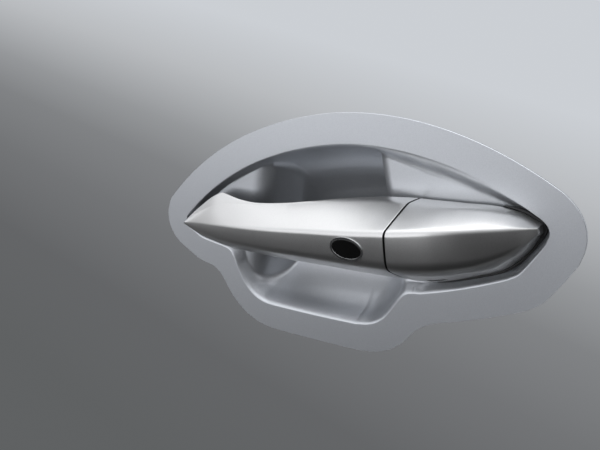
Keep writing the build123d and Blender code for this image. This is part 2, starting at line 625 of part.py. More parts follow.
def release_lever():
    """Two-armed lever: the lower arm is drawn by the pull leg, the upper arm pulls the cable."""
    tip_angle = 180 - LEVER_ARM_ANGLE
    tip_y = LEVER_PIN_Y + LEVER_ARM * math.sin(math.radians(tip_angle))
    tip_z = LEVER_PIN_Z + LEVER_ARM * math.cos(math.radians(tip_angle))
    eye_y = LEVER_PIN_Y - CABLE_ARM * math.sin(math.radians(CABLE_ARM_ANGLE))
    eye_z = LEVER_PIN_Z + CABLE_ARM * math.cos(math.radians(CABLE_ARM_ANGLE))
    lever = rod_x(LEVER_PIN_Y, LEVER_PIN_Z, LEVER_HUB_R, *LEVER_X)
    lever += arm(LEVER_PIN_Y, LEVER_PIN_Z, tip_angle, LEVER_ARM, *LEVER_ARM_HALF, LEVER_WEB_X)
    lever += rod_x(tip_y, tip_z, LEVER_TIP_R, *LEVER_WEB_X)
    lever += arm(LEVER_PIN_Y, LEVER_PIN_Z, -CABLE_ARM_ANGLE, CABLE_ARM, *CABLE_ARM_HALF, LEVER_WEB_X)
    lever += rod_x(eye_y, eye_z, CABLE_HOLE_R + CABLE_EYE_WALL, *LEVER_WEB_X)
    lever -= rod_x(eye_y, eye_z, CABLE_HOLE_R, *LEVER_WEB_X)
    return lever - rod_x(LEVER_PIN_Y, LEVER_PIN_Z, LEVER_PIN_R + PIN_CLEARANCE, *LEVER_X)


def lead_socket():
    """Open socket for the push button's lead, on the back of the carrier."""
    y = SPINE_Y + CARRIER_T
    shell = brick(SOCKET_X, (y, y + SOCKET_DEPTH), (-SOCKET_HALF_Z, SOCKET_HALF_Z))
    inside = (SOCKET_X[0] + SOCKET_WALL, SOCKET_X[1] - SOCKET_WALL)
    return shell - brick(inside, (y + SOCKET_WALL, y + SOCKET_DEPTH),
                         (SOCKET_WALL - SOCKET_HALF_Z, SOCKET_HALF_Z - SOCKET_WALL))


nodes = {
    "handle_cup": handle_cup(),
    "weld_studs": weld_studs(),
    "carrier": carrier(),
    "carrier_screws": carrier_screws(),
    "hook_pin": hook_pin(),
    "front_gasket": front_gasket(),
    "cap_gasket": cap_gasket(),
    "lock_housing": lock_housing(),
    "lock_plug": lock_plug(),
    "lock_tail": lock_tail(),
    "end_cap": end_cap(),
    "lever_pin": lever_pin(),
    "lever_spring": lever_spring(),
    "release_lever": release_lever(),
    "lead_socket": lead_socket(),
    "grip_cover": grip_cover(),
    "grip_base": grip_base(),
    "button_ring": button_ring(),
    "push_button": push_button(),
}

os.makedirs("parts", exist_ok=True)
for name, solid in nodes.items():
    export_step(solid, "parts/" + name + ".step")
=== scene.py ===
import bpy
import bmesh
import math
import numpy as np
from mathutils import Matrix, Vector
from mathutils.geometry import delaunay_2d_cdt


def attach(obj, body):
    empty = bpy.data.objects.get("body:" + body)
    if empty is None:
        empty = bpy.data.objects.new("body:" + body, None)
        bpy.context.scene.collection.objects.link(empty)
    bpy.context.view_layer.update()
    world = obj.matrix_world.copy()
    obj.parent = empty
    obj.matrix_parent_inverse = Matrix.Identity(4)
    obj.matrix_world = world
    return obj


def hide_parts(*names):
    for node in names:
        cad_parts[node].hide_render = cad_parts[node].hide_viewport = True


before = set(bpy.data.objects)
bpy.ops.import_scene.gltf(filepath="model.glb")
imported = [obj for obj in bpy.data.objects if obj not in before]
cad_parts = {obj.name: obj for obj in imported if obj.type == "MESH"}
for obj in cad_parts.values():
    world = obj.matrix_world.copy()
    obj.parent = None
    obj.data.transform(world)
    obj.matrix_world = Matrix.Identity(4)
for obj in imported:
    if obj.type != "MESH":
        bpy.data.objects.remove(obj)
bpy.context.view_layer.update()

# ---- Camera ----
# It stands outside the car, to the rear of the handle and a little above it, and is held
# slightly turned.
view = bpy.data.cameras.new("view")
view.lens = 46.8
view.sensor_width = 36.0
view.clip_start = 0.01
camera = bpy.data.objects.new("camera", view)
bpy.context.scene.collection.objects.link(camera)
azimuth, elevation, roll = math.radians(43.0), math.radians(15.0), math.radians(-11.894)
back = Vector((math.sin(azimuth) * math.cos(elevation), -math.cos(azimuth) * math.cos(elevation),
               math.sin(elevation)))
level = Vector((math.cos(azimuth), math.sin(azimuth), 0.0))
up = back.cross(level)
right = level * math.cos(roll) + up * math.sin(roll)
top = up * math.cos(roll) - level * math.sin(roll)
spot = Vector((0.26267, -0.30747, 0.11211))
camera.matrix_world = Matrix((
    (right.x, top.x, back.x, spot.x),
    (right.y, top.y, back.y, spot.y),
    (right.z, top.z, back.z, spot.z),
    (0.0, 0.0, 0.0, 1.0)))
bpy.context.scene.camera = camera
bpy.context.scene.view_settings.view_transform = "Standard"

# ---- Light ----
# An overcast sky, brightest overhead. Ahead of the handle lies a street: pale paving beyond the
# kerb and shade on this side of it. The ground at the foot of the car is dark.
KERB = (0.373, -0.588, 0.718)
sky = bpy.data.worlds.new("studio")
bpy.context.scene.world = sky
sky.use_nodes = True
nodes, links = sky.node_tree.nodes, sky.node_tree.links
nodes.clear()
direction = nodes.new("ShaderNodeTexCoord")
split = nodes.new("ShaderNodeSeparateXYZ")
links.new(direction.outputs["Generated"], split.inputs[0])
span = nodes.new("ShaderNodeMapRange")
span.inputs["From Min"].default_value = -1.0
links.new(split.outputs["Z"], span.inputs["Value"])


def band(stops, tint):
    """Greys by height in degrees. The first two stops are straight down and straight up."""
    ramp = nodes.new("ShaderNodeValToRGB")
    elements = ramp.color_ramp.elements
    for number, (height, grey) in enumerate(stops):
        if number < 2:
            element = elements[number]
            element.position = float(number)
        else:
            element = elements.new((math.sin(math.radians(height)) + 1) / 2)
        element.color = (grey * tint[0], grey, grey * tint[1], 1.0)
    links.new(span.outputs[0], ramp.inputs[0])
    return ramp.outputs[0]


# Each stop is a height and its grey, and the pair after the stops tints red and blue.
shade = band([(-90, 0.01), (90, 2.4), (-45, 0.02), (-31, 0.03), (-20, 0.05), (-12, 0.10), (-5, 0.18),
              (6, 0.35), (18, 0.5), (30, 0.9), (45, 1.2), (62, 1.9)], (0.99, 1.03))
paving = band([(-90, 0.01), (90, 2.4), (-45, 0.02), (-31, 0.03), (-24, 0.06), (-17, 0.4), (-12, 1.2),
               (-6, 1.6), (12, 1.4), (30, 1.1), (45, 1.2), (62, 1.9)], (0.99, 1.03))
behind_door = band([(-90, 0.04), (90, 2.4), (-25, 0.10), (-2, 0.3), (8, 1.1), (18, 1.6), (30, 1.5),
                    (45, 1.55), (62, 2.1)], (0.99, 1.02))


def share(socket, low, high):
    """Soft step from 0 to 1 while a value goes from low to high."""
    part = nodes.new("ShaderNodeMapRange")
    part.interpolation_type = "SMOOTHSTEP"
    part.inputs["From Min"].default_value = low
    part.inputs["From Max"].default_value = high
    links.new(socket, part.inputs["Value"])
    return part.outputs[0]


def blended(first, second, by):
    """The first colour going over into the second."""
    mix = nodes.new("ShaderNodeMix")
    mix.data_type = "RGBA"
    links.new(by, mix.inputs["Factor"])
    links.new(first, mix.inputs["A"])
    links.new(second, mix.inputs["B"])
    return mix.outputs["Result"]


kerb = nodes.new("ShaderNodeVectorMath")
kerb.operation = "DOT_PRODUCT"
kerb.inputs[1].default_value = KERB
links.new(direction.outputs["Generated"], kerb.inputs[0])
corner = nodes.new("ShaderNodeMath")
corner.operation = "MULTIPLY"
links.new(share(kerb.outputs["Value"], -0.06, 0.09), corner.inputs[0])
links.new(share(split.outputs["X"], 0.02, -0.22), corner.inputs[1])
street = blended(shade, paving, corner.outputs[0])
lamp = nodes.new("ShaderNodeBackground")
links.new(blended(street, behind_door, share(split.outputs["Y"], -0.08, 0.08)), lamp.inputs["Color"])
out = nodes.new("ShaderNodeOutputWorld")
links.new(lamp.outputs[0], out.inputs["Surface"])

# ---- Backdrop ----
# A pale wall well behind the handle. Its glow is painted shade like that on the door around it: palest at the
# upper right, greyer to the left and below.
WALL_Y = 0.9
UPWARD = (0.35, 0.0, 0.94)
wall_mesh = bpy.data.meshes.new("backdrop")
wall_corners = [(x, WALL_Y, z) for x, z in ((-5.0, -3.0), (3.0, -3.0), (3.0, 1.0), (-5.0, 1.0))]
wall_mesh.from_pydata(wall_corners, [], [(0, 1, 2, 3)])
backdrop = bpy.data.objects.new("backdrop", wall_mesh)
bpy.context.scene.collection.objects.link(backdrop)
wall = bpy.data.materials.new("backdrop_painted_shade")
wall.use_nodes = True
nodes, links = wall.node_tree.nodes, wall.node_tree.links
nodes.clear()
place = nodes.new("ShaderNodeTexCoord")
shift = nodes.new("ShaderNodeVectorMath")
shift.operation = "DOT_PRODUCT"
shift.inputs[1].default_value = UPWARD
links.new(place.outputs["Object"], shift.inputs[0])
tone = nodes.new("ShaderNodeMapRange")
tone.inputs["From Min"].default_value = -1.6
tone.inputs["From Max"].default_value = -0.2
links.new(shift.outputs["Value"], tone.inputs["Value"])
ramp = nodes.new("ShaderNodeValToRGB")
ramp.color_ramp.elements[0].color = (0.116, 0.121, 0.124, 1.0)
ramp.color_ramp.elements[1].color = (0.60, 0.625, 0.66, 1.0)
for height, grey in ((0.36, 0.131), (0.57, 0.175), (0.71, 0.225), (0.79, 0.31), (0.9, 0.5)):
    ramp.color_ramp.elements.new(height).color = (grey * 0.97, grey, grey * 1.04, 1.0)
links.new(tone.outputs[0], ramp.inputs[0])
rays = nodes.new("ShaderNodeLightPath")
seen = rays.outputs["Is Camera Ray"]
for kind in ("Is Glossy Ray", "Is Transmission Ray"):
    both = nodes.new("ShaderNodeMath")
    both.operation = "ADD"
    links.new(seen, both.inputs[0])
    links.new(rays.outputs[kind], both.inputs[1])
    seen = both.outputs[0]
glow = nodes.new("ShaderNodeEmission")
links.new(ramp.outputs[0], glow.inputs["Color"])
links.new(seen, glow.inputs["Strength"])
out = nodes.new("ShaderNodeOutputMaterial")
links.new(glow.outputs[0], out.inputs["Surface"])
wall_mesh.materials.append(wall)

# ---- Recess cup ----
# The cup is pressed from sheet steel in one stroke with the door skin and painted with it:
# a pointed hollow under the handle and a deep bowl for the fingers. The skin's edge rolls in
# tightly over the bowl and slackens to a long slope above the end cap.
SHEET = 1.2
FLANGE = 16.0
# How deep the skin's face, the handle's seat and the bowl's floor lie.
SKIN_Y = -1.2
SEAT_Y = 4.0
BOWL_Y = 28.0
# Corners of the hollow and of the lobe under it: x, z, bow of the side that follows, corner radius.
LENS = [(-122.5, 0.0, 11.5, 3.0), (12.0, 44.5, 11.3, 0.0), (124.5, 0.5, 0.5, 6.0),
        (103.0, -23.0, 1.2, 14.0), (47.0, -36.0, 4.5, 14.0), (-108.0, -10.8, 0.0, 12.0)]
LOBE = [(-34.0, 30.0, 0.0, 0.0), (37.0, 30.0, 0.0, 0.0), (37.0, -38.0, 0.0, 20.0), (17.0, -58.5, 0.8, 30.0),
        (-76.0, -50.0, 0.0, 24.0), (-86.0, -14.0, 0.0, 22.0), (-46.0, 6.0, 0.0, 20.0)]
CORNER_EASE = 9.0
# Width of the skin's roll above the handle, along x, and its width below.
ROLL_X = [-122, -60, 0, 25, 62, 88, 102, 112, 122]
ROLL_WIDTH = [2.4, 3.6, 4.4, 4.8, 10.5, 9.5, 6.0, 3.4, 2.4]
LOWER_ROLL = 5.4
LOWER_Z = -12
# Walls of the bowl: roll radius, slope in degrees and foot radius, and the lines of the end walls.
RIM_WALL = (4.0, 66.0, 33.0)
REAR_WALL = (8.5, 70.0, 11.0)
REAR_LINE = ((39.0, -60.0), (41.0, 50.0))
FRONT_WALL = (20.0, 50.0, 16.0)
FRONT_LINE = ((-75.0, -12.0), (-51.0, 44.0))


def drawn(table, step=1.6):
    """Points along an outline given as corners, the bow of each side and each corner's radius."""
    corners = [np.array(row[:2]) for row in table]
    count = len(table)
    cuts = []
    for i, (x, z, bow, radius) in enumerate(table):
        back = corners[i - 1] - corners[i]
        ahead = corners[(i + 1) % count] - corners[i]
        back, ahead = back / np.linalg.norm(back), ahead / np.linalg.norm(ahead)
        half = math.acos(max(-1.0, min(1.0, float(back @ ahead)))) / 2
        cuts.append(radius / math.tan(half) if radius else 0.0)
    points = []
    for i, row in enumerate(table):
        start, end = corners[i], corners[(i + 1) % count]
        length = np.linalg.norm(end - start)
        along = (end - start) / length
        outward = np.array([-along[1], along[0]])
        first, last = cuts[i] / length, 1 - cuts[(i + 1) % count] / length
        for t in np.linspace(first, last, max(2, int(length * (last - first) / step))):
            points.append(start + (end - start) * t + outward * row[2] * 4 * t * (1 - t))
        if cuts[(i + 1) % count]:
            follow = corners[(i + 2) % count] - end
            leave = end + follow / np.linalg.norm(follow) * cuts[(i + 1) % count]
            arrive = points[-1]
            for t in np.linspace(0, 1, 12)[1:-1]:
                points.append(arrive * (1 - t) ** 2 + end * 2 * t * (1 - t) + leave * t ** 2)
    points = np.array(points)
    return points[np.linalg.norm(points - np.roll(points, 1, axis=0), axis=1) > 1e-6]


def distance(loop, p):
    """Signed distance of points from a closed outline, negative inside."""
    ax, az = loop[:, 0], loop[:, 1]
    sx, sz = np.roll(ax, -1) - ax, np.roll(az, -1) - az
    square = sx ** 2 + sz ** 2
    result = np.empty(len(p))
    for start in range(0, len(p), 1000):
        rx = p[start:start + 1000, :1] - ax
        rz = p[start:start + 1000, 1:] - az
        t = np.clip((rx * sx + rz * sz) / square, 0, 1)
        gap = np.sqrt(((rx - t * sx) ** 2 + (rz - t * sz) ** 2).min(1))
        turned = rx * sz - rz * sx
        rises = ((rz >= 0) & (rz < sz) & (turned < 0)).sum(1)
        falls = ((rz < 0) & (rz >= sz) & (turned > 0)).sum(1)
        result[start:start + 1000] = np.where(rises != falls, -gap, gap)
    return result


lens_loop, lobe_loop = drawn(LENS), drawn(LOBE)


def rim_distance(p):
    """Distance inward from the rim, with both inward corners eased."""
    a, b = distance(lens_loop, p), distance(lobe_loop, p)
    ease = np.maximum(CORNER_EASE - np.abs(a - b), 0) / CORNER_EASE
    return -(np.minimum(a, b) - ease ** 2 * CORNER_EASE / 4)


def drop(d, roll, angle, foot):
    """Share of a wall's depth at a distance in from its edge: a roll, a straight wall and a curved foot."""
    depth = BOWL_Y - SEAT_Y
    slope = math.radians(angle)
    first, sunk = roll * math.sin(slope), roll * (1 - math.cos(slope))
    last, raised = foot * math.sin(slope), foot * (1 - math.cos(slope))
    run = (depth - sunk - raised) / math.tan(slope)
    end = first + run + last
    d = np.clip(d, 0, end)
    rolled = roll - np.sqrt(np.maximum(roll ** 2 - d ** 2, 0))
    straight = sunk + (d - first) * math.tan(slope)
    curved = depth - foot + np.sqrt(np.maximum(foot ** 2 - (end - d) ** 2, 0))
    return np.where(d < first, rolled, np.where(d < first + run, straight, curved)) / depth


def beside(p, a, b):
    """Distance of points to the right of the line from a to b."""
    a, b = np.array(a), np.array(b)
    along = (b - a) / np.linalg.norm(b - a)
    return (p - a) @ np.array([along[1], -along[0]])


def lesser(a, b):
    """The shallower of two walls, blended softly where they meet on the slopes."""
    reach = np.minimum(0.4 * (1.02 - np.maximum(a, b)), 1.5 * np.minimum(a, b)) + 1e-6
    near = np.maximum(reach - np.abs(a - b), 0) / reach
    return np.minimum(a, b) - near ** 2 * reach / 4


def cup_depth(p):
    """Depth of the pressed surface at points x, z."""
    inward = rim_distance(p)
    x, z = p[:, 0], p[:, 1]
    upper = np.interp(x, ROLL_X, ROLL_WIDTH)
    lower = np.interp(z, [LOWER_Z, 0], [LOWER_ROLL, 0]) + upper * np.interp(z, [LOWER_Z, 0], [0, 1])
    width = np.where(z > 0, upper, lower)
    t = np.clip(inward / width, 0, 1)
    seat = t * t * (3 - 2 * t)
    bowl = drop(inward, *RIM_WALL)
    bowl = lesser(bowl, drop(-beside(p, *REAR_LINE), *REAR_WALL))
    bowl = lesser(bowl, drop(beside(p, *FRONT_LINE), *FRONT_WALL))
    return SKIN_Y + (SEAT_Y - SKIN_Y) * seat + (BOWL_Y - SEAT_Y) * bowl


def slope_of(field, p, step=0.05):
    """How fast a field rises across and upward."""
    across, upward = np.array([step, 0.0]), np.array([0.0, step])
    rises = [field(p + across) - field(p - across), field(p + upward) - field(p - upward)]
    return np.stack(rises, 1) / (2 * step)


def level_line(level, p):
    """Move points to a given distance inward from the rim."""
    for _ in range(3):
        slope = slope_of(rim_distance, p)
        slope /= np.maximum(np.linalg.norm(slope, axis=1), 0.2)[:, None]
        p = p + (level - rim_distance(p))[:, None] * slope
    return p


def round_window(x_from, x_to, z_from, z_to, corner):
    """Outline of a window with round corners."""
    return drawn([(x_from, z_to, 0, corner), (x_to, z_to, 0, corner), (x_to, z_from, 0, corner),
                  (x_from, z_from, 0, corner)], 0.8)


def circle(x, z, radius, count):
    """Outline of a round hole."""
    turn = np.linspace(0, 2 * math.pi, count, endpoint=False)
    return np.stack([x + radius * np.cos(turn), z - radius * np.sin(turn)], 1)


# The slots of the hook and of the pull leg, the lock's bore and the three screw holes.
SCREW_HOLE_R = 2.1
holes = [round_window(-104.0, -90.5, -5.6, 5.6, 2.0), round_window(40.3, 52.5, -14.0, 6.0, 2.0),
         circle(82.0, -4.5, 10.6, 60)]
holes += [circle(x, z, SCREW_HOLE_R, 16) for x, z in ((-86.0, 14.0), (65.0, -20.0), (101.0, -3.0))]

turn = np.linspace(0, 2 * math.pi, 1440, endpoint=False)
ray = np.stack([np.cos(turn), np.sin(turn)], 1)


def around(level):
    """Points a millimetre apart on the line at a level from the rim, sought on rays from the middle."""
    near, far = np.full(len(ray), 5.0), np.full(len(ray), 170.0)
    for _ in range(15):
        middle = (near + far) / 2
        inside = rim_distance(ray * middle[:, None]) > level
        near, far = np.where(inside, middle, near), np.where(inside, far, middle)
    loop = ray * near[:, None]
    strides = np.linalg.norm(np.roll(loop, -1, axis=0) - loop, axis=1)
    length = np.concatenate([[0], np.cumsum(strides)])
    count = int(length[-1])
    places = np.linspace(0, length[-1], count, endpoint=False)
    closed = np.vstack([loop, loop[:1]])
    return np.stack([np.interp(places, length, closed[:, 0]), np.interp(places, length, closed[:, 1])], 1)


def grid_over(x_from, x_to, z_from, z_to, step):
    """Points of a square grid."""
    xs, zs = np.arange(x_from, x_to, step), np.arange(z_from, z_to, step)
    return np.stack(np.meshgrid(xs, zs), -1).reshape(-1, 2)


# Points lie on lines along the rim, close together where the skin rolls in, then on a grid over the
# hollow, from its own level inward, and on a wider grid over the flange.
ROLL_LEVELS = (-0.02, 0.3, 0.65, 1.05, 1.5, 2.0, 2.6, 3.3, 4.1, 5.0, 6.1)
HOLLOW_LEVEL = 6.9
FLANGE_MARGIN = 2.0
edge = around(-FLANGE)
rim = around(0.0)
points = [edge] + [level_line(level, rim) for level in ROLL_LEVELS]
grid = grid_over(-122, 124, -58, 56, 1.25)
points.append(grid[rim_distance(grid) > HOLLOW_LEVEL])
grid = grid_over(-138, 141, -74, 72, 5.0)
far = rim_distance(grid)
points.append(grid[(far < -FLANGE_MARGIN) & (far > FLANGE_MARGIN - FLANGE)])
points = np.vstack(points)
# Points too near a hole or another point go, but the edge keeps all of its own.
HOLE_MARGIN, POINT_GAP = 0.35, 0.28
clear = np.ones(len(points), bool)
for hole in holes:
    clear &= distance(hole, points) > HOLE_MARGIN
clear[:len(edge)] = True
points = points[clear]
cell = np.round(points / POINT_GAP).astype(int)
first = np.unique(cell, axis=0, return_index=True)[1]
keep = np.union1d(np.arange(len(edge)), first)
points = points[keep]
# Triangles join them, bounded by the edge and the holes.
borders = [(i, (i + 1) % len(edge)) for i in range(len(edge))]
for hole in holes:
    start = len(points)
    borders += [(start + i, start + (i + 1) % len(hole)) for i in range(len(hole))]
    points = np.vstack([points, hole])
flat = [Vector((float(x), float(z))) for x, z in points]
made = delaunay_2d_cdt(flat, borders, [], 0, 1e-5)
points = np.array([(v.x, v.y) for v in made[0]])
faces = np.array(made[2])
middle = points[faces].mean(axis=1)
used = rim_distance(middle) > -FLANGE - 0.01
for hole in holes:
    used &= distance(hole, middle) > 0
faces = faces[used]
depth = cup_depth(points)
lean = slope_of(cup_depth, points)
outward = np.stack([lean[:, 0], -np.ones(len(points)), lean[:, 1]], 1)
outward /= np.linalg.norm(outward, axis=1)[:, None]
front = np.stack([points[:, 0], depth, points[:, 1]], 1)
behind = front - outward * SHEET
corner = points[faces]
# All triangles turn the same way round. The back is the front moved in by the sheet's thickness, and
# a strip closes every open edge.
area = (corner[:, 1, 0] - corner[:, 0, 0]) * (corner[:, 2, 1] - corner[:, 0, 1]) \
    - (corner[:, 1, 1] - corner[:, 0, 1]) * (corner[:, 2, 0] - corner[:, 0, 0])
faces[area < 0] = faces[area < 0][:, ::-1]
total = len(points)
sides = {}
for a, b, c in faces.tolist():
    for pair in ((a, b), (b, c), (c, a)):
        sides[pair] = sides.get(pair, 0) + 1
open_sides = [pair for pair in sides if (pair[1], pair[0]) not in sides]
polygons = faces.tolist() + [[c + total, b + total, a + total] for a, b, c in faces.tolist()]
polygons += [[b, a, a + total, b + total] for a, b in open_sides]


def grown(name, points, polygons, normals=None):
    """Mesh piece from millimetre points, with the surface's own normals where they are known."""
    mesh = bpy.data.meshes.new(name)
    mesh.from_pydata([tuple(float(c) / 1000 for c in point) for point in points], [], polygons)
    mesh.shade_smooth()
    if normals is not None:
        mesh.normals_split_custom_set([normals(polygon, corner) for polygon in mesh.polygons
                                       for corner in polygon.vertices])
    piece = bpy.data.objects.new(name, mesh)
    bpy.context.scene.collection.objects.link(piece)
    return piece


def cup_normal(polygon, corner):
    """The pressed surface's own normal at a corner of a triangle. The strips at the edges stay flat."""
    if len(polygon.vertices) == 4:
        return (0.0, 0.0, 0.0)
    facing = outward[corner] if corner < total else -outward[corner - total]
    return tuple(float(c) for c in facing)


cup = grown("recess_cup", np.vstack([front, behind]), polygons, cup_normal)


def tinted(nodes, links, value, dark, light, shader):
    """Colour between dark and light by a value. Returns the ramp's two ends."""
    tone = nodes.new("ShaderNodeValToRGB")
    first, last = tone.color_ramp.elements
    first.color, last.color = (*dark, 1.0), (*light, 1.0)
    links.new(value, tone.inputs[0])
    links.new(tone.outputs[0], shader.inputs["Base Color"])
    return first, last


def roughened(nodes, links, value, low, high, shader):
    """Roughness between low and high by a value."""
    spread = nodes.new("ShaderNodeMapRange")
    spread.inputs["To Min"].default_value = low
    spread.inputs["To Max"].default_value = high
    links.new(value, spread.inputs["Value"])
    links.new(spread.outputs[0], shader.inputs["Roughness"])


def paint(name, dark, light, metallic, rough, coat, flake):
    """Silver paint: metal flakes, each of a slightly different grey and gloss, under clear coat."""
    made = bpy.data.materials.new(name)
    made.use_nodes = True
    nodes, links = made.node_tree.nodes, made.node_tree.links
    shader = nodes["Principled BSDF"]
    shader.inputs["Metallic"].default_value = metallic
    shader.inputs["Coat Weight"].default_value = coat
    shader.inputs["Coat Roughness"].default_value = 0.05
    place = nodes.new("ShaderNodeTexCoord")
    flakes = nodes.new("ShaderNodeTexVoronoi")
    flakes.inputs["Scale"].default_value = flake
    links.new(place.outputs["Object"], flakes.inputs["Vector"])
    tinted(nodes, links, flakes.outputs["Color"], dark, light, shader)
    roughened(nodes, links, flakes.outputs["Distance"], rough - 0.04, rough + 0.06, shader)
    return made


def dress(node, material):
    """Give a CAD part its finish."""
    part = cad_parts[node]
    part.data.materials.clear()
    part.data.materials.append(material)


cup_paint = paint("cup_paint", (0.55, 0.57, 0.60), (0.62, 0.64, 0.67), 0.92, 0.40, 0.3, 3600.0)
cup.data.materials.append(cup_paint)
dress("handle_cup", cup_paint)
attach(cup, "cup")
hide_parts("handle_cup")

# ---- Grip cover ----
# The outer moulding of the grip is painted plastic: a long bar of three faces that runs to a
# point at the front. Its back is scooped for the fingers, and it ends at the leaning seam.
TIP_X = -118.5
STEP = 0.5
# Sections at x: y of the base, z of its top, y and z of the crest and of the lower edge, z of its
# bottom, and the radii of crest and edge.
BODY = np.array([
    (TIP_X, -2.8, 0.9, -3.9, 0.6, -3.9, -0.6, -0.9, 0.2, 0.2),
    (-105.0, -1.7, 9.4, -7.2, 1.8, -6.7, -3.6, -8.6, 1.2, 2.0),
    (-84.0, -1.7, 19.3, -12.4, 2.6, -11.6, -6.2, -14.8, 2.0, 4.0),
    (-45.0, 0.5, 20.2, -19.9, 4.0, -18.6, -8.5, -23.2, 2.6, 6.5),
    (0.0, 2.2, 20.8, -25.3, 5.4, -23.7, -10.0, -28.0, 3.0, 8.0),
    (40.0, 2.2, 16.4, -29.4, 6.9, -27.5, -11.2, -29.8, 3.2, 9.0),
    (57.0, 2.2, 14.4, -30.8, 8.0, -28.8, -11.5, -29.6, 3.2, 9.0),
    (80.0, 2.2, 12.2, -29.2, 9.0, -27.2, -10.4, -25.0, 3.0, 8.0),
    (100.0, 2.2, 10.0, -21.2, 7.6, -19.6, -7.6, -18.2, 2.4, 5.0),
    (111.0, 2.2, 6.4, -12.0, 5.0, -11.1, -4.2, -9.0, 1.4, 2.6),
    (117.0, 2.2, 2.6, -3.0, 2.2, -2.8, -0.6, -1.2, 0.5, 0.5),
])
# The top face swells to a soft brow: how far from the crest to the base it lies, and its rise.
BROW_PLACE = ([0, 35, 52, 78], [0.6, 0.72, 0.7, 0.58])
BROW_RISE = ([-118.5, -20, 15, 40, 57, 85, 104, 117], [0.0, 0.4, 1.8, 3.0, 3.2, 3.3, 2.0, 0.1])
BROW_R = 9.0
SEAM_X, SEAM_LEAN, SEAM_GAP = 53.2, 0.2, 0.7
SEAM_MARGIN = 8
LEAN_FROM = 24.0
# The hollow for the fingers is an arc in the grip's back, a little off the base's own face.
GAP_FRONT, GAP_REAR, GAP_BASE, GAP_DEPTH = -93.0, 53.0, 2.2, 9.9
SHELL_PLAY = 0.15
gap_half, gap_x = (GAP_REAR - GAP_FRONT) / 2, (GAP_REAR + GAP_FRONT) / 2
gap_r = (gap_half ** 2 + GAP_DEPTH ** 2) / (2 * GAP_DEPTH)


def faired(x):
    """One row of the body's table at any x, on smooth curves through its rows."""
    known = BODY[:, 0]
    i = int(np.clip(np.searchsorted(known, x) - 1, 0, len(known) - 2))
    h = known[i + 1] - known[i]
    t = (x - known[i]) / h

    def slope(j):
        if j == 0 or j == len(known) - 1:
            j = min(max(j, 1), len(known) - 1)
            return (BODY[j] - BODY[j - 1]) / (known[j] - known[j - 1])
        before, after = known[j] - known[j - 1], known[j + 1] - known[j]
        into, out_of = (BODY[j] - BODY[j - 1]) / before, (BODY[j + 1] - BODY[j]) / after
        return (into * after + out_of * before) / (before + after)

    return (BODY[i] * (1 + 2 * t) * (1 - t) ** 2 + slope(i) * h * t * (1 - t) ** 2
            + BODY[i + 1] * t * t * (3 - 2 * t) + slope(i + 1) * h * t * t * (t - 1))


def round_shape(corners, bows, radii, counts, rounds=10):
    """Closed y, z shape with bowed sides and rounded corners, always of as many points."""
    corners = [np.array(corner, float) for corner in corners]
    count = len(corners)
    lengths = [np.linalg.norm(corners[(i + 1) % count] - corners[i]) for i in range(count)]
    cuts = []
    for i in range(count):
        back = (corners[i - 1] - corners[i]) / lengths[i - 1]
        ahead = (corners[(i + 1) % count] - corners[i]) / lengths[i]
        half = math.acos(float(np.clip(back @ ahead, -1, 1))) / 2
        cuts.append(min(radii[i] / math.tan(half), 0.42 * lengths[i], 0.42 * lengths[i - 1]))
    sides = []
    for i in range(count):
        start, end = corners[i], corners[(i + 1) % count]
        along = (end - start) / lengths[i]
        outward = np.array([-along[1], along[0]])
        t = np.linspace(cuts[i] / lengths[i], 1 - cuts[(i + 1) % count] / lengths[i], counts[i])[:, None]
        sides.append(start + (end - start) * t + outward * bows[i] * 4 * t * (1 - t))
    points = []
    for i in range(count):
        points.append(sides[i])
        corner = corners[(i + 1) % count]
        arrive, leave = sides[i][-1], sides[(i + 1) % count][0]
        t = np.linspace(0, 1, rounds + 2)[1:-1][:, None]
        points.append(arrive * (1 - t) ** 2 + corner * 2 * t * (1 - t) + leave * t ** 2)
    return np.vstack(points)


def handle_shape(x, scooped):
    """One section across the handle, with the hollow for the fingers in its back if it is scooped."""
    x, base_y, top_z, crest_y, crest_z, edge_y, edge_z, low_z, crest_r, edge_r = faired(x)
    back_y = base_y
    if scooped:
        arc_y = GAP_BASE - GAP_DEPTH + gap_r - math.sqrt(gap_r ** 2 - (x - gap_x) ** 2)
        back_y = min(base_y, arc_y - SHELL_PLAY)
    thin = min(1.0, (top_z - low_z) / 20.0)
    lower = (back_y - edge_y) / (base_y - edge_y)
    low = (back_y, edge_z + (low_z - edge_z) * lower)
    crest, foot = np.array((crest_y, crest_z)), np.array((base_y, top_z))
    length = np.linalg.norm(foot - crest)
    across = np.array([crest_z - top_z, base_y - crest_y]) / length
    brow = crest + (foot - crest) * np.interp(x, *BROW_PLACE) + across * np.interp(x, *BROW_RISE)
    share = (back_y - brow[0]) / (base_y - brow[0])
    high = brow + (foot - brow) * share
    ease = min(0.7, 0.06 * (top_z - low_z))
    return round_shape([low, (edge_y, edge_z), crest, brow, high],
                       [1.0 * thin * lower ** 2, 0.4 * thin, 0.25 * thin, 0.1 * thin, 0.0],
                       [ease, edge_r, crest_r, BROW_R, ease], [16, 12, 10, 8, 6])


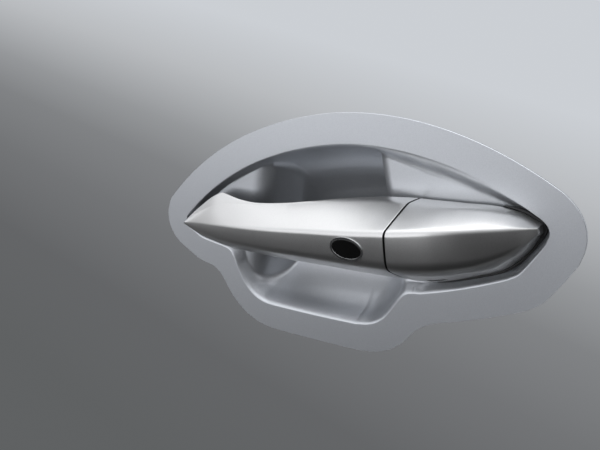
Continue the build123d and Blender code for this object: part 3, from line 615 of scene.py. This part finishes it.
def skinned(places, shapes, lean_from, lean_to, inset):
    """Lay sections along the handle. Towards the seam they lean with it, and each draws in by its inset."""
    xs = np.array(places)
    stack = np.array(shapes)
    rings = []
    for x, pull in inset:
        reach = np.clip((x - lean_from) / (lean_to - lean_from), 0, 1)
        at = np.full(stack.shape[1], x)
        for _ in range(5):
            y = np.array([np.interp(at[k], xs, stack[:, k, 0]) for k in range(stack.shape[1])])
            z = np.array([np.interp(at[k], xs, stack[:, k, 1]) for k in range(stack.shape[1])])
            at = x + SEAM_LEAN * z * reach
        if pull:
            ring = np.stack([y, z], 1)
            tangent = np.roll(ring, -1, axis=0) - np.roll(ring, 1, axis=0)
            tangent /= np.maximum(np.linalg.norm(tangent, axis=1), 1e-6)[:, None]
            y, z = y + tangent[:, 1] * pull, z - tangent[:, 0] * pull
        rings.append(np.stack([at, y, z], 1))
    return rings


def lofted(name, rings, seam_first):
    """Closed mesh over rings of equally many points. Its seam end takes the second material, a near-black
    painted shade for the gap.
    """
    count = len(rings[0])
    polygons, finish = [], []
    for r in range(len(rings) - 1):
        gap_shaded = r < 2 if seam_first else r > len(rings) - 4
        for k in range(count):
            a, b = r * count + k, r * count + (k + 1) % count
            polygons.append((a, a + count, b + count, b))
            finish.append(int(gap_shaded))
    points = np.vstack(rings)
    for ring, flip in ((0, False), (len(rings) - 1, True)):
        centre = len(points)
        points = np.vstack([points, points[ring * count:(ring + 1) * count].mean(0)])
        for k in range(count):
            a, b = ring * count + k, ring * count + (k + 1) % count
            polygons.append((a, b, centre) if not flip else (b, a, centre))
            finish.append(int((ring == 0) == seam_first))
    piece = grown(name, points, polygons)
    piece.data.polygons.foreach_set("material_index", finish)
    return piece


def bumped(nodes, links, height, depth, shader):
    """Fine relief of a given depth in metres."""
    bump = nodes.new("ShaderNodeBump")
    bump.inputs["Strength"].default_value = 0.5
    bump.inputs["Distance"].default_value = depth
    links.new(height, bump.inputs["Height"])
    links.new(bump.outputs[0], shader.inputs["Normal"])


def plastic(name, colour, rough, grain, depth):
    """Moulded plastic or rubber: an even colour with a fine cast grain and faint cloudiness."""
    made = bpy.data.materials.new(name)
    made.use_nodes = True
    nodes, links = made.node_tree.nodes, made.node_tree.links
    shader = nodes["Principled BSDF"]
    place = nodes.new("ShaderNodeTexCoord")
    cloud = nodes.new("ShaderNodeTexNoise")
    cloud.inputs["Scale"].default_value = 90.0
    links.new(place.outputs["Object"], cloud.inputs["Vector"])
    dark, light = [part * 0.8 for part in colour], [part * 1.2 for part in colour]
    tinted(nodes, links, cloud.outputs["Fac"], dark, light, shader)
    roughened(nodes, links, cloud.outputs["Fac"], rough - 0.08, rough + 0.08, shader)
    texture = nodes.new("ShaderNodeTexNoise")
    texture.inputs["Scale"].default_value = grain
    links.new(place.outputs["Object"], texture.inputs["Vector"])
    bumped(nodes, links, texture.outputs["Fac"], depth, shader)
    return made


stations = np.arange(TIP_X, SEAM_X + SEAM_MARGIN - STEP, STEP)
shapes = [handle_shape(x, True) for x in stations]
end = SEAM_X - SEAM_GAP / 2
inset = [(x, 0.0) for x in np.arange(TIP_X, end - 1.2, 1.5)]
inset += [(end - 1.0, 0.0), (end - 0.5, 0.0), (end - 0.3, 0.05), (end - 0.1, 0.18), (end, 0.4)]
cover = lofted("grip_shell", skinned(stations, shapes, LEAN_FROM, end, inset), False)
handle_paint = paint("handle_paint", (0.61, 0.61, 0.605), (0.67, 0.67, 0.665), 0.95, 0.30, 0.3, 3600.0)
# The near-black plastic is painted shade for the deep seam gap and the key slot: it darkens faces that lie in
# shadow there.
painted_gap_shade = plastic("painted_gap_shade", (0.006, 0.006, 0.006), 0.6, 900.0, 0.00005)
cover.data.materials.append(handle_paint)
cover.data.materials.append(painted_gap_shade)
dress("grip_cover", handle_paint)
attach(cover, "grip")
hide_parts("grip_cover")

# ---- End cap ----
# The cap carries the grip's lines on over the lock and clips off to reach it. It is moulded
# and painted with the grip, with a slot underneath for the key blade that frees it.
REAR_X = 117.0
LEAN_TO = 84.0
# The key slot: from and to along x, from and to along y, its roof, and a floor below the cap.
KEY_SLOT = (58.5, 69.0, -8.5, -4.5, -15.0, -40.0)
KEY_SLOT_R = 0.8
stations = SEAM_X - SEAM_MARGIN + STEP * np.arange(int((REAR_X - SEAM_X + SEAM_MARGIN) / STEP) + 1)
shapes = [handle_shape(x, False) for x in stations]
start = SEAM_X + SEAM_GAP / 2
inset = [(start, 0.4), (start + 0.1, 0.18), (start + 0.3, 0.05), (start + 0.5, 0.0)]
inset += [(x, 0.0) for x in np.arange(start + 1.0, REAR_X - 1.0, 1.0)] + [(REAR_X - 0.5, 0.0), (REAR_X, 0.2)]
cap = lofted("end_cap_shell", skinned(stations, shapes, LEAN_TO, start, inset), True)
cap.data.materials.append(handle_paint)
cap.data.materials.append(painted_gap_shade)
x_from, x_to, y_from, y_to, roof, floor = KEY_SLOT
mouth = round_window(x_from, x_to, y_from, y_to, KEY_SLOT_R)
blade = [(x, y, roof) for x, y in mouth] + [(x, y, floor) for x, y in mouth]
count = len(mouth)
walls = [(k, (k + 1) % count, (k + 1) % count + count, k + count) for k in range(count)]
walls += [tuple(range(count - 1, -1, -1)), tuple(range(count, 2 * count))]


def faced_out(mesh):
    """Join the points of a closed mesh that coincide and turn its faces outward."""
    shape = bmesh.new()
    shape.from_mesh(mesh)
    bmesh.ops.remove_doubles(shape, verts=shape.verts, dist=1e-6)
    bmesh.ops.recalc_face_normals(shape, faces=shape.faces)
    shape.to_mesh(mesh)
    shape.free()


cutter = grown("key_blade", blade, walls)
faced_out(cutter.data)
cutter.data.materials.append(painted_gap_shade)
cut = cap.modifiers.new("slot", "BOOLEAN")
cut.operation = "DIFFERENCE"
cut.object = cutter
# The slot's walls take the cutter's near-black painted shade.
cut.material_mode = "TRANSFER"
slotted = bpy.data.meshes.new_from_object(cap.evaluated_get(bpy.context.evaluated_depsgraph_get()))
cap.modifiers.clear()
cap.data = slotted
cap.data.set_sharp_from_angle(angle=math.radians(50.0))
bpy.data.objects.remove(cutter)
dress("end_cap", handle_paint)
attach(cap, "cup")
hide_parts("end_cap")

# ---- Cap gasket ----
# A rubber ring keeps water out under the end cap. Its round bead shows as a black line behind
# the tip and along the cap's lower edge, and thins out towards both ends.
BEAD_Y = 3.0
BEAD_R, BEAD_END_R = 1.2, 0.25
TAPER_START, TAPER_END = 14.0, 26.0
rubber = plastic("rubber", (0.010, 0.010, 0.011), 0.45, 1800.0, 0.00003)
# The bead follows the cap's top edge to the tip and its bottom edge back to the seam.
top_edge = [faired(x) for x in [*np.arange(99.0, 116.0, 1.0), 116.4, 116.9, REAR_X]]
bottom_edge = [faired(x) for x in [REAR_X, 116.9, 116.4, *np.arange(116.0, 56.0, -1.0)]]
path = np.array([(row[0], row[2]) for row in top_edge] + [(row[0], row[7]) for row in bottom_edge])
away = np.concatenate([[0], np.cumsum(np.linalg.norm(np.diff(path, axis=0), axis=1))])
even = np.linspace(0, away[-1], 150)
path = np.stack([np.interp(even, away, path[:, 0]), np.interp(even, away, path[:, 1])], 1)
for _ in range(6):
    path[1:-1] = (path[:-2] + 2 * path[1:-1] + path[2:]) / 4
along = np.gradient(path, axis=0)
along /= np.linalg.norm(along, axis=1)[:, None]
beyond = np.stack([-along[:, 1], along[:, 0]], 1)
full = np.clip(np.minimum(even / TAPER_START, (even[-1] - even) / TAPER_END), 0, 1) ** 0.7
bead_r = BEAD_END_R + (BEAD_R - BEAD_END_R) * full
centre = path + beyond * (0.15 + 0.35 * full)[:, None]


def swept(name, path, across, radii, sides=14):
    """Round tube along a path; across is one direction square to the path at each point."""
    rings = []
    for k in range(len(path)):
        ahead = path[min(k + 1, len(path) - 1)] - path[max(k - 1, 0)]
        ahead = ahead / np.linalg.norm(ahead)
        side = np.cross(ahead, across[k])
        side /= np.linalg.norm(side)
        upright = np.cross(side, ahead)
        turn = np.linspace(0, 2 * math.pi, sides, endpoint=False)[:, None]
        rings.append(path[k] + radii[k] * (np.cos(turn) * side + np.sin(turn) * upright))
    polygons = []
    for r in range(len(rings) - 1):
        for k in range(sides):
            a, b = r * sides + k, r * sides + (k + 1) % sides
            polygons.append((a, b, b + sides, a + sides))
    last = (len(rings) - 1) * sides
    polygons += [tuple(range(sides - 1, -1, -1)), tuple(range(last, last + sides))]
    return grown(name, np.vstack(rings), polygons)


bead_path = np.stack([centre[:, 0], np.full(len(centre), BEAD_Y), centre[:, 1]], 1)
bead = swept("gasket_bead", bead_path, np.tile((0.0, 1.0, 0.0), (len(bead_path), 1)), bead_r)
bead.data.materials.append(rubber)
dress("cap_gasket", rubber)
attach(bead, "cup")
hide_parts("cap_gasket")

# ---- Front gasket ----
# A thin rubber pad under the handle's front foot, cut from sheet. The hook goes through it and
# clamps it to the cup.
dress("front_gasket", rubber)

# ---- Push button ----
# A glossy black plastic key in a bright plated ring, pressed to lock or unlock the car. The
# ring clips into a well in the grip cover and holds the key and its switch.
button_black = plastic("button_black", (0.0025, 0.0025, 0.0025), 0.14, 300.0, 0.000002)
dress("push_button", button_black)


def metal(name, colour, rough, streak, spots, depth):
    """Bare or plated metal: colour clouded a little, with fine tool or rolling marks."""
    made = bpy.data.materials.new(name)
    made.use_nodes = True
    nodes, links = made.node_tree.nodes, made.node_tree.links
    shader = nodes["Principled BSDF"]
    shader.inputs["Metallic"].default_value = 1.0
    place = nodes.new("ShaderNodeTexCoord")
    stretch = nodes.new("ShaderNodeMapping")
    stretch.inputs["Scale"].default_value = streak
    links.new(place.outputs["Object"], stretch.inputs["Vector"])
    marks = nodes.new("ShaderNodeTexNoise")
    marks.inputs["Scale"].default_value = spots
    marks.inputs["Detail"].default_value = 4.0
    links.new(stretch.outputs[0], marks.inputs["Vector"])
    first, last = tinted(nodes, links, marks.outputs["Fac"], [part * 0.78 for part in colour], colour, shader)
    first.position, last.position = 0.3, 0.75
    roughened(nodes, links, marks.outputs["Fac"], rough * 0.7, rough * 1.3, shader)
    bumped(nodes, links, marks.outputs["Fac"], depth, shader)
    return made


dress("button_ring", metal("ring_chrome", (0.86, 0.87, 0.88), 0.10, (1.0, 1.0, 1.0), 400.0, 0.000001))

# ---- Grip base ----
# The inner half of the grip, with the front hook and the pull leg moulded on, in dark
# glass-filled nylon. The painted cover clips over it.
dress("grip_base", plastic("inner_plastic", (0.060, 0.060, 0.062), 0.5, 1400.0, 0.00006))

# ---- Carrier ----
# The stiff frame behind the cup that holds hook, lever and lock, moulded in glass-filled nylon.
# Its faces show the fine grain of the mould and a dull bloom.
dress("carrier", plastic("carrier_nylon", (0.028, 0.028, 0.030), 0.55, 1100.0, 0.00009))

# ---- Carrier screws ----
# Three cap screws with hexagon sockets hold the carrier to the cup from inside the door. They
# are steel, zinc plated with a faint yellow cast.
dress("carrier_screws", metal("zinc_steel", (0.66, 0.63, 0.52), 0.32, (1.0, 1.0, 1.0), 700.0, 0.00001))

# ---- Weld studs ----
# Four threaded studs shot onto the back of the flange. They are plain steel, left bare, with
# the small collar of the weld at the foot and a chamfered end.
STUD_X, STUD_Z = 90.0, 32.5
PITCH, TURNS, ROOT_R, THREAD_R = 0.8, 15, 2.22, 2.5
# Outline of a stud: radius and y of the weld's collar, of each turn of the thread and of the end.
turned = [(2.5, 0.0), (3.0, 0.15), (2.9, 0.5), (2.3, 0.8)]
for k in range(TURNS):
    foot_y = 1.0 + PITCH * k
    turned += [(ROOT_R, foot_y), (THREAD_R, foot_y + 0.3), (THREAD_R, foot_y + 0.45), (ROOT_R, foot_y + 0.75)]
turned += [(2.2, 13.1), (2.2, 13.5), (1.7, 14.0), (0.0, 14.0)]
sides, points, polygons = 28, [], []
for x in (-STUD_X, STUD_X):
    for z in (-STUD_Z, STUD_Z):
        base = len(points)
        for radius, y in turned:
            for k in range(sides):
                turn_by = 2 * math.pi * k / sides
                points.append((x + radius * math.cos(turn_by), y, z + radius * math.sin(turn_by)))
        for r in range(len(turned) - 1):
            for k in range(sides):
                a, b = base + r * sides + k, base + r * sides + (k + 1) % sides
                polygons.append((a, b, b + sides, a + sides))
studs = grown("threaded_studs", points, polygons)
faced_out(studs.data)
studs.data.set_sharp_from_angle(angle=math.radians(35.0))
bare_steel = metal("bare_steel", (0.52, 0.51, 0.50), 0.34, (1.0, 6.0, 1.0), 500.0, 0.00002)
studs.data.materials.append(bare_steel)
dress("weld_studs", bare_steel)
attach(studs, "cup")
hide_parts("weld_studs")

# ---- Hook pin and lever pin ----
# Ground steel pins, pressed into the carrier: a plain one through the hook's eye, and a headed
# one that carries the lever.
pin_steel = metal("pin_steel", (0.62, 0.62, 0.63), 0.18, (1.0, 1.0, 1.0), 900.0, 0.000004)
dress("hook_pin", pin_steel)
dress("lever_pin", pin_steel)

# ---- Release lever ----
# The lever turns on its pin in the carrier's ears. It is die-cast zinc, left as cast: the lower
# arm is drawn by the pull leg, the upper one has the cable's eye.
dress("release_lever", metal("lever_casting", (0.50, 0.50, 0.49), 0.42, (1.0, 1.0, 1.0), 1300.0, 0.00006))

# ---- Lever spring ----
# A coil of spring wire round the lever's pin turns the lever home. One end leans on the lever,
# the other on the carrier's ear.
COIL_X, COIL_LENGTH, COIL_TURNS = 53.6, 4.4, 3.6
COIL_R, WIRE_R = 4.6, 0.6
PIN_Y, PIN_Z = 33.0, 22.0
coil_turn = np.linspace(0, 2 * math.pi * COIL_TURNS, 190)
coil = np.stack([COIL_X + COIL_LENGTH * coil_turn / coil_turn[-1], PIN_Y + COIL_R * np.sin(coil_turn),
                 PIN_Z + COIL_R * np.cos(coil_turn)], 1)
across = np.tile((1.0, 0.0, 0.0), (len(coil), 1))
spring = swept("spring_coil", coil, across, np.full(len(coil), WIRE_R), 12)
spring_steel = metal("spring_steel", (0.40, 0.40, 0.42), 0.22, (1.0, 1.0, 1.0), 600.0, 0.000005)
spring.data.materials.append(spring_steel)
dress("lever_spring", spring_steel)
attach(spring, "cup")
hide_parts("lever_spring")

# ---- Lock ----
# A die-cast barrel goes through the cup, with a brass core that the key turns. The core's
# square end drives a stamped steel tail for the rod to the latch.
dress("lock_housing", metal("lock_casting", (0.48, 0.48, 0.47), 0.45, (1.0, 1.0, 1.0), 1100.0, 0.00007))
dress("lock_plug", metal("lock_brass", (0.72, 0.56, 0.30), 0.24, (1.0, 1.0, 1.0), 900.0, 0.000006))
dress("lock_tail", metal("tail_steel", (0.56, 0.56, 0.55), 0.30, (1.0, 1.0, 8.0), 500.0, 0.00001))

# ---- Lead socket ----
# The open box on the carrier's back takes the plug of the push button's lead. It is moulded in
# a paler plastic than the carrier and clips in.
dress("lead_socket", plastic("socket_plastic", (0.09, 0.085, 0.08), 0.42, 1600.0, 0.00004))
